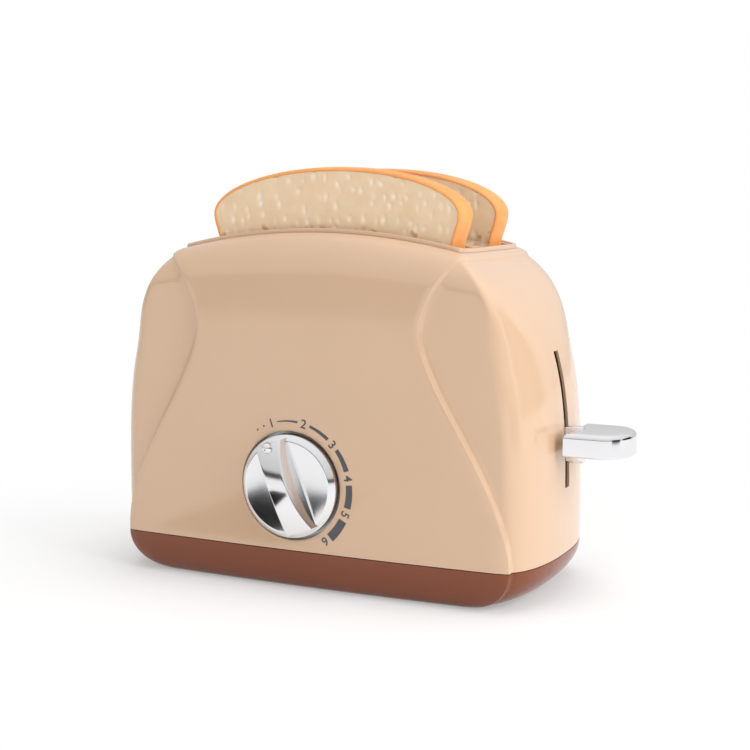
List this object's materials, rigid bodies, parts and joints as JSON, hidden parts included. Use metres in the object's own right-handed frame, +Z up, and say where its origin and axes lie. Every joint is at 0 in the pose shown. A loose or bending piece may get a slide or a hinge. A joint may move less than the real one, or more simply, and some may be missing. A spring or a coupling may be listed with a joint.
{
  "type": "toy toaster",
  "caption": "Toy pop-up toaster with a moulded hourglass front, a plated timer knob, a side lever on a sprung carriage and loose toy bread slices.",
  "frame": {"origin": "centre of the flat underside of the base tray", "axes": "+Z up, +X along the front towards the lever, the dial faces -Y"},
  "size_m": [0.2028, 0.093, 0.1581],
  "materials": {
    "shell_plastic": "glossy beige moulded plastic",
    "base_plastic": "satin red-brown moulded plastic",
    "plating": "bright plated plastic",
    "bread": "matt moulded plastic, crust and crumb coloured",
    "steel": "drawn or pressed steel",
    "gear_nylon": "natural moulded nylon",
    "spring_steel": "spring steel"
  },
  "bodies": {
    "root": {"body_shell": "shell_plastic", "crown_plate": "shell_plastic", "base_tray": "base_plastic", "base_screw_front_left": "steel", "base_screw_front_right": "steel", "base_screw_rear_left": "steel", "base_screw_rear_right": "steel", "guide_rod_front_right": "steel", "guide_rod_rear_right": "steel", "guide_rod_left": "steel", "lift_spring": "spring_steel", "timer_front_plate": "steel", "timer_back_plate": "steel", "timer_screw_left": "steel", "timer_screw_right": "steel", "mainspring": "spring_steel", "rocker_pin": "steel", "pallet_pin": "steel"},
    "carriage": {"bread_carriage": "base_plastic", "lift_lever": "plating"},
    "front_bread": {"front_slice": "bread"},
    "rear_bread": {"rear_slice": "bread"},
    "knob": {"timer_knob": "plating", "knob_arbor": "steel", "drive_gear": "gear_nylon", "release_cam": "gear_nylon"},
    "idler": {"idler_arbor": "steel", "idler_pinion": "steel", "idler_gear": "gear_nylon"},
    "escapement": {"escape_arbor": "steel", "escape_pinion": "steel", "escape_wheel": "gear_nylon"},
    "pallet_body": {"pallet": "base_plastic"},
    "rocker": {"latch_rocker": "steel"}
  },
  "joints": [
    {"name": "carriage_slide", "type": "slide", "parent": "root", "child": "carriage", "axis": [0, 0, 1], "range_m": [-0.0095, 0.027], "deforming": ["lift_spring"]},
    {"name": "front_slice_lift", "type": "slide", "parent": "carriage", "child": "front_bread", "axis": [0, 0, 1], "range_m": [0, 0.09]},
    {"name": "rear_slice_lift", "type": "slide", "parent": "carriage", "child": "rear_bread", "axis": [0, 0, 1], "range_m": [0, 0.09]},
    {"name": "knob_turn", "type": "hinge", "parent": "root", "child": "knob", "pos_m": [-0.0055, -0.0387, 0.04], "axis": [0, 1, 0], "range_deg": [-19, 165]},
    {"name": "idler_turn", "type": "hinge", "parent": "root", "child": "idler", "pos_m": [0.0179, -0.0387, 0.04], "axis": [0, 1, 0], "range_deg": [-551, 64]},
    {"name": "escape_turn", "type": "hinge", "parent": "root", "child": "escapement", "pos_m": [0.03063, -0.0387, 0.02483], "axis": [0, 1, 0], "range_deg": [-170, 1468]},
    {"name": "rocker_swing", "type": "hinge", "parent": "root", "child": "rocker", "pos_m": [0.056, -0.0387, 0.068], "axis": [0, 1, 0], "range_deg": [-5.6, 0.8]},
    {"name": "pallet_rock", "type": "hinge", "parent": "root", "child": "pallet_body", "pos_m": [0.03412, -0.0387, 0.03787], "axis": [0, 1, 0], "range_deg": [-4, 4]}
  ],
  "couplings": [
    {"joint": "idler_turn", "follows": "knob_turn", "ratio": -3.3333},
    {"joint": "escape_turn", "follows": "knob_turn", "ratio": 8.8889},
    {"joint": "rocker_swing", "follows": "knob_turn", "ratio": -0.0329}
  ]
}
